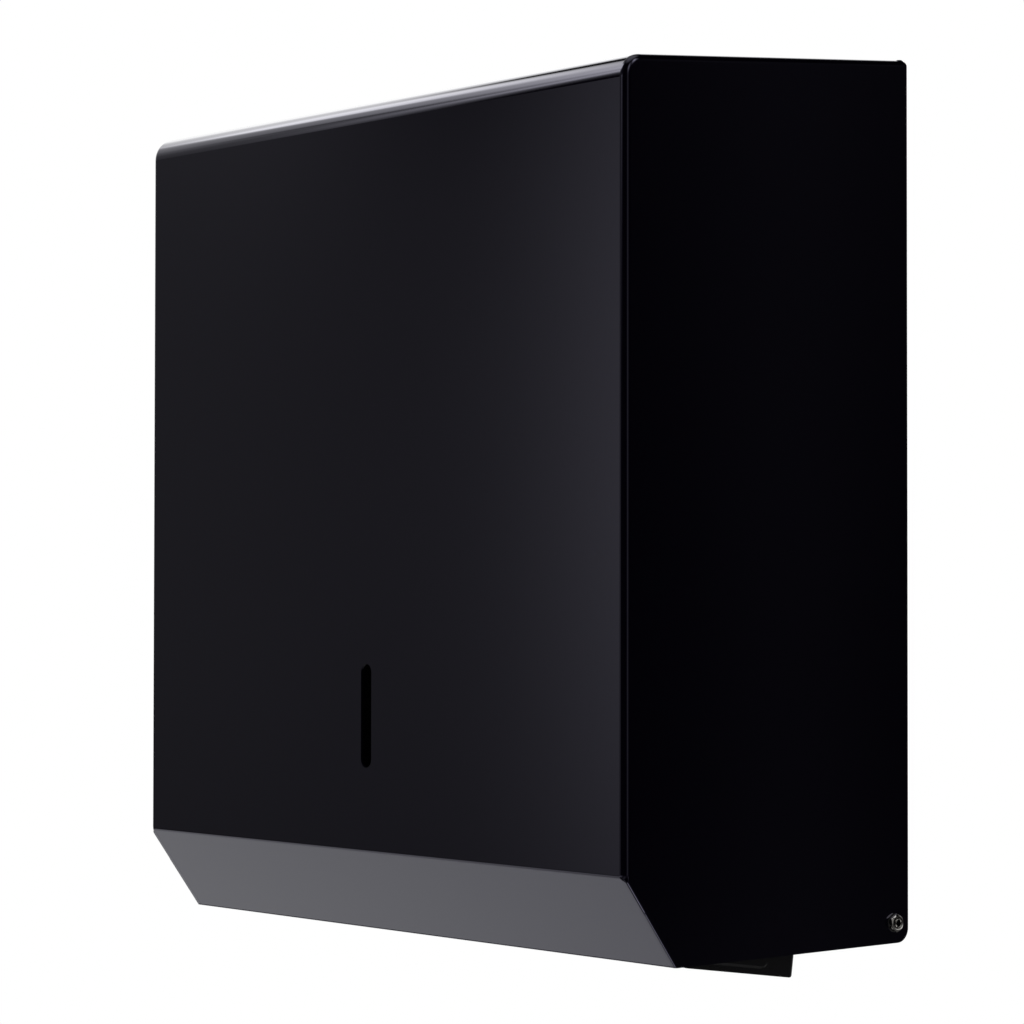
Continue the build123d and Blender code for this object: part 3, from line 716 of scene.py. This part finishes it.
s = lockSettings
chrome = finishes["polishedChrome"]
body = turnedPiece("lockBody", lockBody(s), chrome, "cover", capped=False)
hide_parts("lock_housing")
axis = axisFrame(s["origin"], [-a for a in s["up"]], (1, 0, 0))
points = hexNut(axis, s, s["nutStart"])
nut = turnedPiece("lockNut", points, finishes["brightZincPlate"], "cover", capped=False)
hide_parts("lock_nut")
print("lock made")


bevelSettings = {
    "top": (-131.0, -115.3), "foot": (-109.0, -145.5),    # y, z in mm of the bevel's ends
    "side": 137.5,         # mm, the cover's side
    "proud": 0.02,         # mm, over the sheet
    "bend": 2.6,           # mm, the cover's own bend
    "edge": 0.8,           # mm, radius that the weld is ground to
    "from": 0.3,           # mm below the bevel's top, where the weld starts
    "run": 1.8,            # mm over which it comes out of the bend
    "thickness": 0.3,      # mm
    "runRows": 12, "plainFrom": 8.0, "plainRows": 9, "arcColumns": 10,
    "overFoot": 0.03,      # mm that the welds end above the foot
    "lip": 0.30,           # mm, radius of the bead of enamel that gathers along the foot
    "lipSunk": 0.5,        # of its radius
    "lipInset": 1.0,       # mm that the bead ends before the sides
    "lipRows": 40, "lipColumns": 24,
}


# the bevel's slope: its ends, its length and the directions down it and in through it
def bevelSlope(s):
    top, foot = np.array([0.0, *s["top"]]), np.array([0.0, *s["foot"]])
    length = np.linalg.norm(foot - top)
    down = (foot - top) / length
    return top, foot, length, down, np.array([0.0, -down[2], down[1]])


# section of the weld at each place down the bevel: across is the distance in from the side, deep
# the distance behind the bevel's face; one arm, the arc, the other arm, and back inside them
def weldSection(place, radius, s):
    angle = np.linspace(0.0, pi / 2, s["arcColumns"])
    arm, face = np.full((len(place), 1), s["bend"]), np.zeros((len(place), 1))
    across = np.concatenate([arm, radius[:, None] * (1.0 - np.sin(angle)), face], axis=1) - s["proud"]
    deep = np.concatenate([face, radius[:, None] * (1.0 - np.cos(angle)), arm], axis=1) - s["proud"]
    across = np.concatenate([across, across[:, ::-1] + s["thickness"]], axis=1)
    deep = np.concatenate([deep, deep[:, ::-1] + s["thickness"]], axis=1)
    return across, deep


# Ground weld along the end of the bevel: an angle whose corner radius goes from the bend's to its
# own, edge + (bend - edge) * (1 - smooth step of the distance), carried down the bevel
def bevelWeld(side, s):
    top, foot, length, down, inwards = bevelSlope(s)
    runTo = s["from"] + s["run"]
    place = np.concatenate([np.linspace(s["from"], runTo, s["runRows"]),
                            np.linspace(s["plainFrom"], length, s["plainRows"])])
    radius = s["edge"] + (s["bend"] - s["edge"]) * (1.0 - ease(s["from"], runTo, place))
    across, deep = weldSection(place, radius, s)
    points = top + place[:, None, None] * down + deep[..., None] * inwards
    points[..., 0] = side * (s["side"] - across)
    over = np.clip(foot[2] + s["overFoot"] - points[..., 2], 0.0, None)      # the cover's foot is level
    points = points + (over / -down[2])[..., None] * -down
    return points / 1000.0


# Bead of enamel along the bevel's foot: a thin roll, half sunk in the sheet, closed at both ends
def footBead(s):
    _, foot, _, down, inwards = bevelSlope(s)
    middle = foot - s["lip"] * down + s["lipSunk"] * s["lip"] * inwards
    angle = np.arange(s["lipColumns"]) * 2 * pi / s["lipColumns"]
    reach = s["side"] - s["lipInset"]
    ring = middle + s["lip"] * (np.cos(angle)[:, None] * down - np.sin(angle)[:, None] * inwards)
    points = np.repeat(ring[None], s["lipRows"], axis=0)
    points[..., 0] = np.linspace(-reach, reach, s["lipRows"])[:, None]
    return points / 1000.0


for side, name in ((-1, "left"), (1, "right")):
    turnedPiece(name + "BevelWeld", bevelWeld(side, bevelSettings), enamel, "cover",
                crease=40.0)
turnedPiece("footBead", footBead(bevelSettings), enamel, "cover")
print("bevel welds and bead made")


firstRing = 0.02              # of a round head's radius

rivetSettings = {
    "y": -78.9, "z": -139.7,    # mm
    "face": 135.2, "back": 133.2, "headRadius": 3.0, "headHeight": 0.8, "stemRadius": 1.6,
    "rimHeight": 0.2, "stemEdge": 0.1,
    "dimpleRadius": 0.9, "dimpleDepth": 0.35, "dimpleWall": (0.15, 0.1),     # mm inside and outside
    "rows": 22, "columns": 72,
}


# Blind rivet: dome of height * (1 - (radius / head radius)^2) with the broken stem's dimple in
# the middle, then the shank
def rivet(side, s):
    axis = axisFrame((0.0, s["y"], s["z"]), (side, 0, 0), (0, 1, 0))
    angle = np.arange(s["columns"]) * 2 * pi / s["columns"]
    head, stem, edge = s["headRadius"], s["stemRadius"], s["stemEdge"]
    out = np.linspace(firstRing, 1.0, s["rows"]) * head
    dome = s["rimHeight"] + (s["headHeight"] - s["rimHeight"]) * (1.0 - (out / head) ** 2)
    wallFrom, wallTo = s["dimpleRadius"] - s["dimpleWall"][0], s["dimpleRadius"] + s["dimpleWall"][1]
    dome -= s["dimpleDepth"] * (1.0 - ease(wallFrom, wallTo, out))
    distance = np.concatenate([s["face"] + dome, [s["face"], s["face"], s["back"] + edge, s["back"]]])
    radius = np.concatenate([out, [head, stem, stem, stem - edge]])
    return turnedPoints(axis, distance[:, None] + 0.0 * angle, radius[:, None] + 0.0 * angle, angle)


weldSettings = {
    "face": 135.2,
    "places": ((-40.0, -128.3), (-30.0, -126.9), (-20.0, -125.5)),    # y, z in mm
    "radius": 2.6, "ringRadius": 1.9, "ringWidth": 0.4, "ringHeight": 0.10,
    "floorHeight": 0.015,  # mm, of the dimple over the cheek
    "fadeFrom": 0.85,      # of the radius, where it thins away
    "sunk": 0.1,
    "rows": 20, "columns": 60,
}


# Spot weld: a raised ring round a flat dimple, height = ring * exp(-((radius - ring radius) /
# width)^2), thinning to nothing at its edge
def spotWelds(side, s):
    angle = np.arange(s["columns"]) * 2 * pi / s["columns"]
    out = np.linspace(firstRing, 1.0, s["rows"]) * s["radius"]
    height = s["floorHeight"] + s["ringHeight"] * np.exp(-((out - s["ringRadius"]) / s["ringWidth"]) ** 2)
    height = height * (1.0 - ease(s["fadeFrom"] * s["radius"], s["radius"], out))
    distance = np.concatenate([s["face"] + height, [s["face"] - s["sunk"]]])[:, None] + 0.0 * angle
    radius = np.concatenate([out, [s["radius"]]])[:, None] + 0.0 * angle
    return [turnedPoints(axisFrame((0.0, y, z), (side, 0, 0), (0, 1, 0)), distance, radius, angle)
            for y, z in s["places"]]


for side, name in ((-1, "left"), (1, "right")):
    points = rivet(side, rivetSettings)
    head = turnedPiece(name + "TrayRivet", points, finishes["rivetSteel"], "base")
    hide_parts(name + "_tray_rivet")
    for number, points in enumerate(spotWelds(side, weldSettings), 1):
        turnedPiece(f"{name}SpotWeld{number}", points, coat, "base", crease=60.0)
print("rivets and spot welds made")
